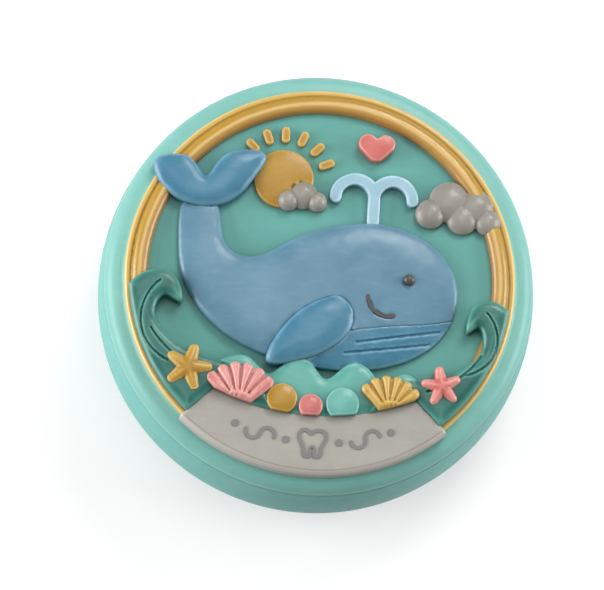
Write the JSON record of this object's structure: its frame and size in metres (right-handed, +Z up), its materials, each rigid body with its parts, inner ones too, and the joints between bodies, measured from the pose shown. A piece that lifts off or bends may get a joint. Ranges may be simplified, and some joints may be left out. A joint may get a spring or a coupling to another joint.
{
  "type": "baby tooth box",
  "caption": "Round cast keepsake box for milk teeth: rounded bowl base and a lift-off lid with a painted relief.",
  "frame": {"origin": "middle of the foot, on the surface that the box stands on", "axes": "+Z up through the lid, -Y towards the banner at the lid's front, +X to the right as the banner is seen"},
  "size_m": [0.0728, 0.0728, 0.0284],
  "materials": {
    "aqua_paint": "satin",
    "teal_aqua_paint": "satin",
    "gold_paint": "satin",
    "banner_grey_paint": "satin",
    "ink_grey_paint": "satin",
    "whale_blue_paint": "satin",
    "deep_blue_paint": "satin",
    "dark_green_paint": "satin",
    "sea_green_paint": "satin",
    "pink_paint": "satin",
    "coral_paint": "satin",
    "cloud_grey_paint": "satin",
    "pale_blue_paint": "satin",
    "eye_paint": "satin"
  },
  "bodies": {
    "base": {"base": "aqua_paint"},
    "lid": {"lid": "aqua_paint", "ring": "gold_paint", "banner": "banner_grey_paint", "banner_marks": "ink_grey_paint", "whale_body": "whale_blue_paint", "whale_belly": "deep_blue_paint", "whale_fluke": "deep_blue_paint", "whale_flipper": "deep_blue_paint", "whale_eye": "eye_paint", "whale_smile": "eye_paint", "left_wave": "dark_green_paint", "right_wave": "dark_green_paint", "swell": "sea_green_paint", "pink_shell": "pink_paint", "gold_shell": "gold_paint", "gold_starfish": "gold_paint", "coral_starfish": "coral_paint", "pink_pebble": "pink_paint", "gold_pebble": "gold_paint", "aqua_pebble": "teal_aqua_paint", "spout": "pale_blue_paint", "heart": "coral_paint", "sun": "gold_paint", "sun_rays": "gold_paint", "large_cloud": "cloud_grey_paint", "small_cloud": "cloud_grey_paint"}
  },
  "joints": [
    {"name": "lid_lift", "type": "slide", "parent": "base", "child": "lid", "axis": [0, 0, 1], "range_m": [0, 0.035]}
  ]
}
